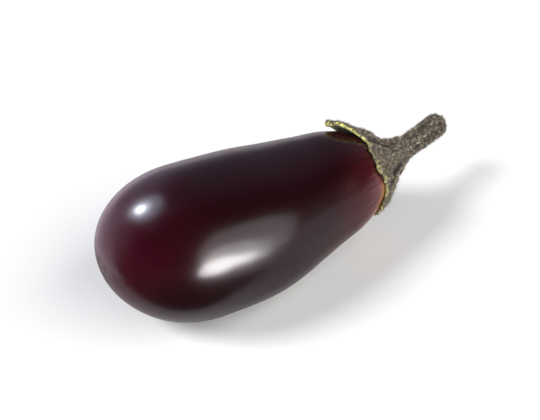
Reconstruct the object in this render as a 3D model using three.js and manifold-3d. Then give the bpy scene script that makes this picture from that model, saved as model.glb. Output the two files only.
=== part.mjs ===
// An eggplant lying on its side: the glossy fruit, the lobed calyx that caps its shoulder, and its cut stem.
// Millimetres, +Z up. The long axis runs along +X, from the blossom end to the stem. The origin is the middle
// of the small flat that the fruit rests on, under its weight.
// Angles round the fruit are called turns: 0 points along +Y, a quarter turn points up.

import * as THREE from "three";
import { mergeVertices } from "three/addons/utils/BufferGeometryUtils.js";
import Module from "manifold-3d";

const wasm = await Module();
wasm.setup();

const RADIANS = Math.PI / 180;

// The fruit's outline: places along its length, and radii.
const FRUIT_LENGTH = 180;
const BULB_AT = 51;
const BULB_RADIUS = 43;
const NECK_AT = 127;
const NECK_RADIUS = 34.2;
const NECK_TAPER = 0.21;
const SHOULDER_AT = 155;
const SHOULDER_RADIUS = 27.6;
const SHOULDER_TAPER = 0.4;
const BLOSSOM_FULLNESS = 20;
const POLE_FULLNESS = 10;

// How far the outline keeps its direction beside each place, as a share of the stretch to the next.
const HOLD_BEFORE_BULB = 0.67;
const HOLD_AFTER_BULB = 0.5;
const HOLD_BEFORE_NECK = 0.47;
const HOLD_NECK_TO_SHOULDER = 0.4;
const HOLD_AFTER_SHOULDER = 0.5;

// Its centreline sags from the bulb to the neck and swings a little to one side.
const SAG = 6.3;
const SAG_FROM = 31;
const SAG_OVER = 82;
const SWING_AT_BLOSSOM = 2;
const SWING_NEAR_BULB = -14.6;
const SWING_NEAR_STEM = 3.9;

// The flat that it rests on: how far the belly is pressed in, and where the middle of the flat lies.
const PRESSED = 0.6;
const REST_AT = 83;

// The small scar left by the flower at the blossom end: a dimple with a low raised spot in its middle.
const DIMPLE_RADIUS = 7;
const DIMPLE_DEPTH = 1.3;
const SPOT_RADIUS = 2.2;
const SPOT_HEIGHT = 0.7;

const FRUIT_AROUND = 64;
const FRUIT_ALONG = 44;

// The calyx: a thick boss round the stem, thinning to lobes that lie on the shoulder.
const CALYX_GAP = 0.45;
const BOSS_RISE = 14.6;
const BOSS_RADIUS = 7.8;
const BOSS_ASIDE = 3;
const BOSS_UP = 1.4;
const BOSS_SPREAD = 1.2;
const BOSS_TOE = 17;
const TOE_THICKNESS = 3.4;
const NOTCH_REACH = 27;
const RIM_THICKNESS = 1.5;
const RIDGE_HEIGHT = 2.2;
const VALLEY_SHARE = 0.4;
const LUMP_ON_CALYX = 0.3;
const LOBE_SWELL = 0.3;
const LIFT_SKEW = 0.5;
const EDGE_WAVE = 0.7;
const EDGE_NICK = 0.4;
const LOBES = [
  { turn: 67.5, reach: 48, halfWidth: 36, lift: 4.2 },
  { turn: 131.25, reach: 35, halfWidth: 40, lift: 0.8 },
  { turn: 206.25, reach: 34, halfWidth: 34, lift: 0.5 },
  { turn: 273.75, reach: 39, halfWidth: 33, lift: 0.4 },
  { turn: 341.25, reach: 43, halfWidth: 35, lift: 1.4 },
];
const CALYX_AROUND = 96;
const INNER_RINGS = 8;
const BOSS_RINGS = 5;
const LOBE_RINGS = 5;

// The stem: a short woody shaft with a flared foot and a rounded cut end, bending to one side.
const SEAT_GAP = 0.3;
const STEM_LENGTH = 38;
const STEM_RADIUS = 6.2;
const STEM_END_RADIUS = 6.5;
const STEM_FOOT = 7;
const END_ROUNDING = 3.6;
const END_HOLLOW = 0.5;
const STEM_START = 10;
const STEM_BEND = 14.5;
const STEM_DIP = -0.8;
const STEM_KNEE = 0.4;
const RIB_COUNT = 5;
const RIB_HEIGHT = 0.35;
const RIB_TWIST = 0.05;
const LUMP_HEIGHT = 0.3;
const STEM_AROUND = 30;

// Prickles stand on the calyx and the stem.
const PRICKLE_LENGTH = 2.6;
const PRICKLE_RADIUS = 0.6;
const PRICKLE_ROOT = 1.2;
const PRICKLE_SIDES = 4;
const PRICKLE_LEAN = 0.6;
const CALYX_PRICKLES = 12;
const STEM_PRICKLES = 7;

function smoothStep(value) {
  const t = THREE.MathUtils.clamp(value, 0, 1);
  return t * t * (3 - 2 * t);
}

function seededRandom(seed) {
  let state = seed;
  return () => {
    state = (state * 1664525 + 1013904223) % 4294967296;
    return state / 4294967296;
  };
}

function bezier(...points) {
  return new THREE.CubicBezierCurve(...points.map(([x, y]) => new THREE.Vector2(x, y)));
}

function along(start, direction, distance) {
  return start.clone().addScaledVector(direction, distance);
}

// The outline as (distance along the fruit, radius), from the blossom end to the pole under the calyx.
function fruitOutline() {
  const toNeck = NECK_AT - BULB_AT;
  const beforeNeck = toNeck * HOLD_BEFORE_NECK;
  const shoulderHold = (SHOULDER_AT - NECK_AT) * HOLD_NECK_TO_SHOULDER;
  const afterShoulder = (FRUIT_LENGTH - SHOULDER_AT) * HOLD_AFTER_SHOULDER;
  const outline = new THREE.CurvePath();
  outline.add(bezier(
    [0, 0],
    [0, BLOSSOM_FULLNESS],
    [BULB_AT * (1 - HOLD_BEFORE_BULB), BULB_RADIUS],
    [BULB_AT, BULB_RADIUS],
  ));
  outline.add(bezier(
    [BULB_AT, BULB_RADIUS],
    [BULB_AT + toNeck * HOLD_AFTER_BULB, BULB_RADIUS],
    [NECK_AT - beforeNeck, NECK_RADIUS + beforeNeck * NECK_TAPER],
    [NECK_AT, NECK_RADIUS],
  ));
  outline.add(bezier(
    [NECK_AT, NECK_RADIUS],
    [NECK_AT + shoulderHold, NECK_RADIUS - shoulderHold * NECK_TAPER],
    [SHOULDER_AT - shoulderHold, SHOULDER_RADIUS + shoulderHold * SHOULDER_TAPER],
    [SHOULDER_AT, SHOULDER_RADIUS],
  ));
  outline.add(bezier(
    [SHOULDER_AT, SHOULDER_RADIUS],
    [SHOULDER_AT + afterShoulder, SHOULDER_RADIUS - afterShoulder * SHOULDER_TAPER],
    [FRUIT_LENGTH, POLE_FULLNESS],
    [FRUIT_LENGTH, 0],
  ));
  return outline;
}

const OUTLINE = fruitOutline();
const OUTLINE_LENGTH = OUTLINE.getLength();

// The centreline's sideways and upright offsets at a distance along the fruit.
function swing(forward) {
  const q = Math.min(forward / FRUIT_LENGTH, 1);
  return SWING_AT_BLOSSOM * (1 - q) ** 3
    + 3 * SWING_NEAR_BULB * q * (1 - q) ** 2
    + 3 * SWING_NEAR_STEM * q * q * (1 - q);
}

function height(forward) {
  return BULB_RADIUS - SAG * smoothStep((forward - SAG_FROM) / SAG_OVER);
}

// How low the belly would reach unpressed: the model is lowered to this line, less the pressed depth.
function bellyLine() {
  let lowest = Infinity;
  for (let step = 0; step <= 400; step += 1) {
    const point = OUTLINE.getPoint(step / 400);
    lowest = Math.min(lowest, height(point.x) - point.y);
  }
  return lowest + PRESSED;
}

const FLOOR = bellyLine();

// A point of an axial section, given by its distance along the fruit, its radius and its turn.
function sectionPoint(forward, radius, turn) {
  return new THREE.Vector3(
    forward - REST_AT,
    swing(forward) - swing(REST_AT) + radius * Math.cos(turn),
    height(forward) - FLOOR + radius * Math.sin(turn),
  );
}

// The outline's point and its outward normal, at a distance along the skin from the pole under the calyx.
function skinSection(fromPole) {
  const share = 1 - fromPole / OUTLINE_LENGTH;
  const point = OUTLINE.getPoint(share);
  const tangent = OUTLINE.getTangent(share);
  return { point, tangent, normal: new THREE.Vector2(-tangent.y, tangent.x) };
}

// A profile turned into a closed solid round the Y axis, with shared vertices and no collapsed triangles.
function turned(profile, around) {
  const lathe = new THREE.LatheGeometry(profile, around);
  lathe.deleteAttribute("normal");
  lathe.deleteAttribute("uv");
  const merged = mergeVertices(lathe);
  const corners = merged.index.array;
  const kept = [];
  for (let i = 0; i < corners.length; i += 3) {
    const [a, b, c] = [corners[i], corners[i + 1], corners[i + 2]];
    if (a !== b && b !== c && c !== a) {
      kept.push(a, b, c);
    }
  }
  merged.setIndex(kept);
  return merged;
}

function reshaped(geometry, place) {
  const positions = geometry.attributes.position;
  const vertex = new THREE.Vector3();
  for (let i = 0; i < positions.count; i += 1) {
    vertex.fromBufferAttribute(positions, i);
    const moved = place(vertex, Math.atan2(vertex.x, vertex.z));
    positions.setXYZ(i, moved.x, moved.y, moved.z);
  }
  return geometry;
}

function solidOf(geometry) {
  return new wasm.Manifold(new wasm.Mesh({
    numProp: 3,
    vertProperties: new Float32Array(geometry.attributes.position.array),
    triVerts: new Uint32Array(geometry.index.array),
  }));
}

function geometryOf(solid) {
  const mesh = solid.getMesh();
  const geometry = new THREE.BufferGeometry();
  geometry.setAttribute("position", new THREE.BufferAttribute(mesh.vertProperties, 3));
  geometry.setIndex(new THREE.BufferAttribute(mesh.triVerts, 1));
  return geometry;
}

function scarDepth(radius) {
  const dimple = Math.exp(-((radius / DIMPLE_RADIUS) ** 2));
  const spot = Math.exp(-((radius / SPOT_RADIUS) ** 2));
  return DIMPLE_DEPTH * dimple - SPOT_HEIGHT * spot;
}

function fruitGeometry() {
  const profile = [];
  for (let ring = 0; ring <= FRUIT_ALONG; ring += 1) {
    const point = OUTLINE.getPoint(ring / FRUIT_ALONG);
    const onAxis = ring === 0 || ring === FRUIT_ALONG;
    const dip = point.x < BULB_AT ? scarDepth(point.y) : 0;
    profile.push(new THREE.Vector2(onAxis ? 0 : point.y, point.x + dip));
  }
  return reshaped(turned(profile, FRUIT_AROUND), (vertex, turn) => {
    const placed = sectionPoint(vertex.y, Math.hypot(vertex.x, vertex.z), turn);
    placed.z = Math.max(placed.z, 0);
    return placed;
  });
}

// The lobe that a turn falls in: how far out along the skin the calyx reaches there, how near the turn is to
// the lobe's middle, from 0 in a notch to 1, and how much it lifts there, more on one side than the other.
function lobeAt(turn) {
  const degrees = THREE.MathUtils.euclideanModulo(turn / RADIANS, 360);
  let found = { reach: NOTCH_REACH, nearness: 0, lift: 0, tip: NOTCH_REACH + 1 };
  for (const lobe of LOBES) {
    const off = (THREE.MathUtils.euclideanModulo(degrees - lobe.turn + 180, 360) - 180) / lobe.halfWidth;
    const nearness = Math.max(1 - Math.abs(off), 0);
    const outline = nearness * (1 + LOBE_SWELL * (1 - nearness));
    const reach = NOTCH_REACH + (lobe.reach - NOTCH_REACH) * outline;
    if (reach > found.reach) {
      found = { reach, nearness, lift: lobe.lift * (1 + LIFT_SKEW * off), tip: lobe.reach };
    }
  }
  found.reach += EDGE_WAVE * Math.sin(13 * turn + 1) + EDGE_NICK * Math.sin(23 * turn);
  return found;
}

// The lobes leave the skin only in their outer part.
function liftAt(lobe, fromPole) {
  return lobe.lift * smoothStep((fromPole - NOTCH_REACH) / (lobe.tip - NOTCH_REACH));
}

// A point of the calyx over the skin, with the directions towards the pole and away from the skin.
function overSkin(fromPole, turn, off) {
  const { point, tangent, normal } = skinSection(fromPole);
  const place = sectionPoint(point.x + normal.x * off, point.y + normal.y * off, turn);
  const middle = sectionPoint(point.x, 0, turn);
  const outward = sectionPoint(point.x, 1, turn).sub(middle);
  const ahead = new THREE.Vector3(1, 0, 0);
  return {
    place,
    poleward: ahead.clone().multiplyScalar(tangent.x).addScaledVector(outward, tangent.y),
    away: ahead.clone().multiplyScalar(normal.x).addScaledVector(outward, normal.y),
  };
}

// The boss's flat top, where the stem stands.
const SEAT = sectionPoint(FRUIT_LENGTH + BOSS_RISE, 0, 0).add(new THREE.Vector3(0, BOSS_ASIDE, BOSS_UP));
const SEAT_FACING = new THREE.Vector3(Math.cos(STEM_START * RADIANS), Math.sin(STEM_START * RADIANS), 0);
const SEAT_TURN = new THREE.Quaternion().setFromUnitVectors(new THREE.Vector3(1, 0, 0), SEAT_FACING);

function seatOutward(turn) {
  return new THREE.Vector3(0, Math.cos(turn), Math.sin(turn)).applyQuaternion(SEAT_TURN);
}

function calyxInner(share, turn) {
  const lobe = lobeAt(turn);
  const fromPole = share * lobe.reach;
  return overSkin(fromPole, turn, CALYX_GAP + liftAt(lobe, fromPole)).place;
}

// Down the boss's side, from the edge of its flat top to its toe.
function bossSide(share, turn) {
  const edge = along(SEAT, seatOutward(turn), BOSS_RADIUS);
  const toe = overSkin(BOSS_TOE, turn, CALYX_GAP + TOE_THICKNESS);
  const side = new THREE.CubicBezierCurve3(
    edge,
    along(along(edge, SEAT_FACING, -BOSS_RISE / 3), seatOutward(turn), BOSS_SPREAD),
    along(toe.place, toe.poleward, BOSS_TOE / 2),
    toe.place,
  );
  return { place: side.getPoint(share), away: toe.away };
}

// Out along a lobe from the toe to the rim.
function lobeBack(share, turn) {
  const lobe = lobeAt(turn);
  const fromPole = THREE.MathUtils.lerp(BOSS_TOE, lobe.reach, share);
  const thickness = THREE.MathUtils.lerp(TOE_THICKNESS, RIM_THICKNESS, share);
  return overSkin(fromPole, turn, CALYX_GAP + liftAt(lobe, fromPole) + thickness);
}

// The outer face: share 0 is the edge of the flat top, 0.5 the toe and 1 the rim. A ridge runs down the
// middle of each lobe, with a valley to its sides and low lumps all over.
function calyxOuter(share, turn) {
  const { place, away } = share < 0.5 ? bossSide(share * 2, turn) : lobeBack(share * 2 - 1, turn);
  const { nearness } = lobeAt(turn);
  const fade = Math.sin(Math.PI * share);
  const ridge = RIDGE_HEIGHT * (nearness ** 2 - VALLEY_SHARE);
  const lump = LUMP_ON_CALYX * Math.sin(7 * turn + 9 * share);
  return along(place, away, (ridge + lump) * fade);
}

// The calyx is turned as a flat disc first, level 0 its inner face and level 1 its outer, then laid in place.
function calyxGeometry() {
  const topRadius = 0.2;
  const outerRings = BOSS_RINGS + LOBE_RINGS;
  const profile = [new THREE.Vector2(0, 0)];
  for (let ring = 1; ring <= INNER_RINGS; ring += 1) {
    profile.push(new THREE.Vector2(ring / INNER_RINGS, 0));
  }
  for (let ring = outerRings; ring >= 0; ring -= 1) {
    profile.push(new THREE.Vector2(topRadius + (1 - topRadius) * ring / outerRings, 1));
  }
  profile.push(new THREE.Vector2(0, 1));
  return reshaped(turned(profile, CALYX_AROUND), (vertex, turn) => {
    const radius = Math.hypot(vertex.x, vertex.z);
    if (vertex.y < 0.5) {
      return calyxInner(radius, turn);
    }
    if (radius < topRadius / 2) {
      return SEAT;
    }
    return calyxOuter(Math.max(radius - topRadius, 0) / (1 - topRadius), turn);
  });
}

// The stem's axis leaves the boss square to its top and bends to the side.
function stemAxis() {
  const foot = along(SEAT, SEAT_FACING, SEAT_GAP);
  const tip = foot.clone().add(new THREE.Vector3(
    STEM_LENGTH * Math.cos(STEM_BEND * RADIANS),
    STEM_LENGTH * Math.sin(STEM_BEND * RADIANS),
    STEM_DIP,
  ));
  return new THREE.QuadraticBezierCurve3(foot, along(foot, SEAT_FACING, STEM_LENGTH * STEM_KNEE), tip);
}

const STEM_AXIS = stemAxis();

function stemProfile() {
  const profile = [new THREE.Vector2(0, 0)];
  const footSteps = 6;
  for (let step = 0; step <= footSteps; step += 1) {
    const share = step / footSteps;
    const flare = (BOSS_RADIUS - SEAT_GAP - STEM_RADIUS) * (1 - share) ** 2;
    profile.push(new THREE.Vector2(STEM_RADIUS + flare, STEM_FOOT * share));
  }
  const shaftSteps = 9;
  const shaft = STEM_LENGTH - END_ROUNDING - STEM_FOOT;
  for (let step = 1; step <= shaftSteps; step += 1) {
    const share = step / shaftSteps;
    const swell = (STEM_END_RADIUS - STEM_RADIUS) * smoothStep(share);
    profile.push(new THREE.Vector2(STEM_RADIUS + swell, STEM_FOOT + shaft * share));
  }
  const roundSteps = 5;
  for (let step = 1; step <= roundSteps; step += 1) {
    const angle = 90 * RADIANS * step / roundSteps;
    const inset = END_ROUNDING * (1 - Math.cos(angle));
    const rise = END_ROUNDING * Math.sin(angle);
    profile.push(new THREE.Vector2(STEM_END_RADIUS - inset, STEM_LENGTH - END_ROUNDING + rise));
  }
  profile.push(new THREE.Vector2(0, STEM_LENGTH - END_HOLLOW));
  return profile;
}

// A point beside the stem's axis, with the outward direction there.
function besideStem(forward, radius, turn) {
  const share = forward / STEM_LENGTH;
  const tangent = STEM_AXIS.getTangent(share);
  const up = new THREE.Vector3(0, 0, 1).addScaledVector(tangent, -tangent.z).normalize();
  const across = new THREE.Vector3().crossVectors(up, tangent);
  const outward = across.multiplyScalar(Math.cos(turn)).addScaledVector(up, Math.sin(turn));
  return { point: STEM_AXIS.getPoint(share).addScaledVector(outward, radius), outward };
}

// Ribs run along the stem with a slow twist, and low lumps break them up; both fade at its foot.
function stemRelief(forward, turn) {
  const grown = smoothStep(forward / STEM_FOOT);
  const ribs = RIB_HEIGHT * Math.cos(RIB_COUNT * turn + RIB_TWIST * forward);
  const lumps = LUMP_HEIGHT * Math.sin(3 * turn + 0.62 * forward) * Math.sin(0.47 * forward - 2 * turn);
  return grown * (ribs + lumps);
}

function stemGeometry() {
  return reshaped(turned(stemProfile(), STEM_AROUND), (vertex, turn) => {
    const radius = Math.hypot(vertex.x, vertex.z);
    const relief = stemRelief(vertex.y, turn) * Math.min(radius / STEM_RADIUS, 1);
    return besideStem(vertex.y, radius + relief, turn).point;
  });
}

function prickle(foot, direction, length) {
  const cone = new THREE.ConeGeometry(PRICKLE_RADIUS, length + PRICKLE_ROOT, PRICKLE_SIDES);
  cone.translate(0, (length - PRICKLE_ROOT) / 2, 0);
  cone.deleteAttribute("normal");
  cone.deleteAttribute("uv");
  const merged = mergeVertices(cone);
  merged.applyQuaternion(new THREE.Quaternion().setFromUnitVectors(new THREE.Vector3(0, 1, 0), direction));
  merged.translate(foot.x, foot.y, foot.z);
  return solidOf(merged);
}

function prickleLength(random) {
  return PRICKLE_LENGTH * (0.7 + 0.4 * random());
}

// Each prickle on the calyx leans towards the lobe's tip, and each on the stem towards its cut end.
function calyxPrickles(solid) {
  const random = seededRandom(7);
  let joined = solid;
  for (let i = 0; i < CALYX_PRICKLES; i += 1) {
    const turn = (i + 0.7 * random()) / CALYX_PRICKLES * 2 * Math.PI;
    const share = 0.3 + 0.4 * random();
    const foot = calyxOuter(share, turn);
    const outward = foot.clone().sub(calyxInner(share, turn)).normalize();
    const towardsTip = calyxOuter(share + 0.02, turn).sub(foot).normalize();
    const direction = along(outward, towardsTip, PRICKLE_LEAN).normalize();
    joined = joined.add(prickle(foot, direction, prickleLength(random)));
  }
  return joined;
}

function stemPrickles(solid) {
  const random = seededRandom(19);
  let joined = solid;
  for (let i = 0; i < STEM_PRICKLES; i += 1) {
    const turn = (i * 2.4 + 0.5 * random()) % (2 * Math.PI);
    const share = THREE.MathUtils.lerp(0.15, 0.75, (i + random()) / STEM_PRICKLES);
    const { point, outward } = besideStem(share * STEM_LENGTH, STEM_RADIUS, turn);
    const direction = along(outward, STEM_AXIS.getTangent(share), PRICKLE_LEAN).normalize();
    joined = joined.add(prickle(point, direction, prickleLength(random)));
  }
  return joined;
}

function fruitMesh() {
  const skin = new THREE.MeshStandardMaterial({ color: 0x2b121b, roughness: 0.16, metalness: 0 });
  const mesh = new THREE.Mesh(fruitGeometry(), skin);
  mesh.name = "fruit";
  return mesh;
}

function calyxMesh() {
  const woolly = new THREE.MeshStandardMaterial({ color: 0x6a6048, roughness: 0.95, metalness: 0 });
  const mesh = new THREE.Mesh(geometryOf(calyxPrickles(solidOf(calyxGeometry()))), woolly);
  mesh.name = "calyx";
  return mesh;
}

function stemMesh() {
  const woody = new THREE.MeshStandardMaterial({ color: 0x5d5243, roughness: 0.95, metalness: 0 });
  const mesh = new THREE.Mesh(geometryOf(stemPrickles(solidOf(stemGeometry()))), woody);
  mesh.name = "stem";
  return mesh;
}

const eggplant = new THREE.Group();
eggplant.add(fruitMesh());
eggplant.add(calyxMesh());
eggplant.add(stemMesh());

export default eggplant;
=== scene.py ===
"""The looks of an eggplant lying on its side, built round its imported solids.

Lengths are millimetres in the formulas, and the meshes are scaled to metres. The long axis runs along +X,
from the blossom end to the stem. Angles round the fruit are called turns: 0 points along +Y, a quarter turn
points up. A direction in the studio has an azimuth, 0 along -Y and 90 along +X, and an elevation.
"""

import math

import bpy
import numpy as np
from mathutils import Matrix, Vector, noise


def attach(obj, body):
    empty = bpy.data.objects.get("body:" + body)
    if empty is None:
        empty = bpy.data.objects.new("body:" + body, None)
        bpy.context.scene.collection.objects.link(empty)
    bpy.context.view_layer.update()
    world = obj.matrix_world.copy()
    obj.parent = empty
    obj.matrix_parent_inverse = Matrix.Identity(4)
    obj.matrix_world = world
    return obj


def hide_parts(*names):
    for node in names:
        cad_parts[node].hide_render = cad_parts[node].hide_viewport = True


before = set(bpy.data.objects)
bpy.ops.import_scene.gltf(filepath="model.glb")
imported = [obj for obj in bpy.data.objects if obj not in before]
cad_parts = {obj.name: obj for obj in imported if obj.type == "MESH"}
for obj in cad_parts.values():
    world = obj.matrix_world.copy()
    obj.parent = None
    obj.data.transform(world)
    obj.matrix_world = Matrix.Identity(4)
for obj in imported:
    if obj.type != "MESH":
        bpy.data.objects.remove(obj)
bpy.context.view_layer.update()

METRE = 1000

# The fruit's outline, centreline, flat and blossom scar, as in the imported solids.
FRUIT_LENGTH = 180
BULB_AT = 51
BULB_RADIUS = 43
NECK_AT = 127
NECK_RADIUS = 34.2
NECK_TAPER = 0.21
SHOULDER_AT = 155
SHOULDER_RADIUS = 27.6
SHOULDER_TAPER = 0.4
BLOSSOM_FULLNESS = 20
POLE_FULLNESS = 10
HOLD_BEFORE_BULB = 0.67
HOLD_AFTER_BULB = 0.5
HOLD_BEFORE_NECK = 0.47
HOLD_NECK_TO_SHOULDER = 0.4
HOLD_AFTER_SHOULDER = 0.5
SAG = 6.3
SAG_FROM = 31
SAG_OVER = 82
SWING_AT_BLOSSOM = 2
SWING_NEAR_BULB = -14.6
SWING_NEAR_STEM = 3.9
PRESSED = 0.6
REST_AT = 83
DIMPLE_RADIUS = 7
DIMPLE_DEPTH = 1.3
SPOT_RADIUS = 2.2
SPOT_HEIGHT = 0.7

# The calyx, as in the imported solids.
CALYX_GAP = 0.45
BOSS_RISE = 14.6
BOSS_RADIUS = 7.8
BOSS_ASIDE = 3
BOSS_UP = 1.4
BOSS_SPREAD = 1.2
BOSS_TOE = 17
TOE_THICKNESS = 3.4
NOTCH_REACH = 27
RIM_THICKNESS = 1.5
RIDGE_HEIGHT = 2.2
VALLEY_SHARE = 0.4
LUMP_ON_CALYX = 0.3
LUMPS_ROUND_CALYX = 7
LUMP_SHIFT = 9
LOBE_SWELL = 0.3
LIFT_SKEW = 0.5
EDGE_WAVE = 0.7
EDGE_WAVES_ROUND = 13
EDGE_NICK = 0.4
EDGE_NICKS_ROUND = 23
LOBES = [
    {"turn": 67.5, "reach": 48, "half_width": 36, "lift": 4.2},
    {"turn": 131.25, "reach": 35, "half_width": 40, "lift": 0.8},
    {"turn": 206.25, "reach": 34, "half_width": 34, "lift": 0.5},
    {"turn": 273.75, "reach": 39, "half_width": 33, "lift": 0.4},
    {"turn": 341.25, "reach": 43, "half_width": 35, "lift": 1.4},
]

# The stem and the prickles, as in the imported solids.
SEAT_GAP = 0.3
STEM_LENGTH = 38
STEM_RADIUS = 6.2
STEM_END_RADIUS = 6.5
STEM_FOOT = 7
END_ROUNDING = 3.6
END_HOLLOW = 0.5
STEM_START = 10
STEM_BEND = 14.5
STEM_DIP = -0.8
STEM_KNEE = 0.4
RIB_COUNT = 5
RIB_HEIGHT = 0.35
RIB_TWIST = 0.05
LUMP_HEIGHT = 0.3
LUMPS_ROUND_STEM = 3
LUMP_LEAN = 0.62
LUMP_SPACING = 0.47
LUMP_TWIST = 2
PRICKLE_LENGTH = 2.6
PRICKLE_SHORTEST = 0.7
PRICKLE_VARIES = 0.4
PRICKLE_RADIUS = 0.6
PRICKLE_ROOT = 1.2
PRICKLE_LEAN = 0.6
CALYX_PRICKLES = 12
CALYX_PRICKLE_SEED = 7
CALYX_PRICKLE_STRAY = 0.7
CALYX_PRICKLES_FROM = 0.3
CALYX_PRICKLES_OVER = 0.4
STEM_PRICKLES = 7
STEM_PRICKLE_SEED = 19
STEM_PRICKLE_TURN = 2.4
STEM_PRICKLE_STRAY = 0.5
STEM_PRICKLES_FROM = 0.15
STEM_PRICKLES_TO = 0.75

# How fine the meshes are.
OUTLINE_STEPS = 800
FRUIT_RINGS = 210
RING_CROWDING = 0.5
FRUIT_AROUND = 192
CALYX_AROUND = 400
CALYX_INNER_RINGS = 24
CALYX_RIM_RINGS = 3
CALYX_OUTER_RINGS = 84
STEM_AROUND = 144
STEM_FOOT_STEPS = 40
STEM_SHAFT_STEPS = 60
STEM_ROUNDING_STEPS = 30
STEM_CUT_STEPS = 16
PRICKLE_SIDES = 8
HAIR_SIDES = 3

# Fine relief. Layers of lumps are pairs of height and size, and spans are shares of a lobe's half width.
SKIN_WAVES = [(0.2, 24), (0.05, 9)]
FELT = [(0.6, 5.2), (0.5, 2.4), (0.3, 1.2)]
FELT_SEED = 3.0
RAGGED_EDGE = 1.3
RAGGED_SIZE = 2.2
FURROW_HEIGHT = 0.22
FURROWS = 9
CREASE_DEPTH = 1.6
CREASE_SPAN = 0.16
RIM_BULGE = 0.8
TIP_BLUNTED = 1.8
TIP_SPAN = 0.09
TIP_ROLL = 1.9
ROLL_WIDTH = 3.5
ROLL_SPAN = 0.45
FULL_LIFT = 3
BARK = [(0.4, 5.0), (0.45, 2.3), (0.3, 1.2)]
BARK_SEED = 9.0
STEM_SUNK = 1.2

# Where the calyx is yellow-green: how far in from the rim, and how strongly on the rim and the underside.
GREEN_EDGE = 1.1
GREEN_UNDER_EDGE = 3.6
RIM_GREEN = 0.5
# The underside's yellow-green is partly its own and partly painted light, for light that shines through the
# thin lobes and back from the floor.
UNDERSIDE_GREEN_AND_PAINTED_LIGHT = 4

# Hairs: how many, their size and scatter, and how they thin out where the calyx lies low.
CALYX_HAIRS = 8500
CALYX_HAIR_SEED = 11
STEM_HAIRS = 6500
STEM_HAIR_SEED = 12
STEM_HAIRS_FROM = -0.5
HAIR_LENGTH = 3.0
HAIR_SHORTEST = 0.22
HAIR_RADIUS = 0.11
HAIR_ROOT = 0.12
HAIR_SPREAD = 0.75
HAIR_LEAST_OUTWARD = 0.35
HAIR_LEAN = 0.5
BARE_BELOW = 1.1
CREASE_HAIRS = 0.06

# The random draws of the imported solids.
DRAW_FACTOR = 1664525
DRAW_STEP = 1013904223
DRAW_RANGE = 4294967296

# The camera, at the photograph's viewing angle.
CAMERA_LENS = 80
CAMERA_AIM = (18.7, 3.7, 40)
CAMERA_AZIMUTH = -32.65
CAMERA_ELEVATION = 40.6
CAMERA_DISTANCE = 663


def smooth_step(value):
    t = np.clip(value, 0, 1)
    return t * t * (3 - 2 * t)


def lerp(start, end, share):
    return start + (end - start) * share


def seeded_random(seed):
    """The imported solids' own random draws, so that each prickle grows where its solid has it."""
    state = seed
    while True:
        state = (state * DRAW_FACTOR + DRAW_STEP) % DRAW_RANGE
        yield state / DRAW_RANGE


def unit(vectors):
    return vectors / np.linalg.norm(vectors, axis=-1, keepdims=True)


def lumps(points, size, seed=0.0):
    """Soft random lumps, about -1 to 1, at an array of points."""
    flat = points.reshape(-1, 3) / size + (seed, 2 * seed, -seed)
    return np.array([noise.noise(p) for p in flat.tolist()]).reshape(points.shape[:-1])


def relief(points, layers, seed=0.0):
    return sum(height * lumps(points, size, seed + size) for height, size in layers)


# The fruit.

def bezier(controls, share):
    a, b, c, d = (np.asarray(point, float) for point in controls)
    t = np.asarray(share, float)[..., None]
    return a * (1 - t) ** 3 + 3 * b * t * (1 - t) ** 2 + 3 * c * t * t * (1 - t) + d * t ** 3


def fruit_outline():
    """The outline as (distance along the fruit, radius), from the blossom end to the pole under the calyx."""
    to_neck = NECK_AT - BULB_AT
    before_neck = to_neck * HOLD_BEFORE_NECK
    hold = (SHOULDER_AT - NECK_AT) * HOLD_NECK_TO_SHOULDER
    after = (FRUIT_LENGTH - SHOULDER_AT) * HOLD_AFTER_SHOULDER
    bulb = (BULB_AT, BULB_RADIUS)
    neck = (NECK_AT, NECK_RADIUS)
    shoulder = (SHOULDER_AT, SHOULDER_RADIUS)
    stretches = [
        [(0, 0), (0, BLOSSOM_FULLNESS), (BULB_AT * (1 - HOLD_BEFORE_BULB), BULB_RADIUS), bulb],
        [bulb, (BULB_AT + to_neck * HOLD_AFTER_BULB, BULB_RADIUS),
         (NECK_AT - before_neck, NECK_RADIUS + before_neck * NECK_TAPER), neck],
        [neck, (NECK_AT + hold, NECK_RADIUS - hold * NECK_TAPER),
         (SHOULDER_AT - hold, SHOULDER_RADIUS + hold * SHOULDER_TAPER), shoulder],
        [shoulder, (SHOULDER_AT + after, SHOULDER_RADIUS - after * SHOULDER_TAPER),
         (FRUIT_LENGTH, POLE_FULLNESS), (FRUIT_LENGTH, 0)],
    ]
    share = np.linspace(0, 1, OUTLINE_STEPS + 1)
    points = [bezier(stretch, share)[:-1] for stretch in stretches]
    return np.vstack([*points, [(FRUIT_LENGTH, 0)]])


OUTLINE = fruit_outline()
WALKED = np.concatenate([[0], np.cumsum(np.linalg.norm(np.diff(OUTLINE, axis=0), axis=1))])
OUTLINE_LENGTH = WALKED[-1]
TANGENTS = unit(np.gradient(OUTLINE, WALKED, axis=0))


def swing(forward):
    q = np.minimum(forward / FRUIT_LENGTH, 1)
    return (SWING_AT_BLOSSOM * (1 - q) ** 3
            + 3 * SWING_NEAR_BULB * q * (1 - q) ** 2
            + 3 * SWING_NEAR_STEM * q * q * (1 - q))


def height(forward):
    return BULB_RADIUS - SAG * smooth_step((forward - SAG_FROM) / SAG_OVER)


FLOOR = (height(OUTLINE[:, 0]) - OUTLINE[:, 1]).min() + PRESSED


def section_point(forward, radius, turn):
    """A point of an axial section, given by its distance along the fruit, its radius and its turn."""
    forward, radius, turn = np.broadcast_arrays(forward, radius, turn)
    across = swing(forward) - swing(REST_AT) + radius * np.cos(turn)
    up = height(forward) - FLOOR + radius * np.sin(turn)
    return np.stack([forward - REST_AT, across, up], axis=-1)


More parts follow.
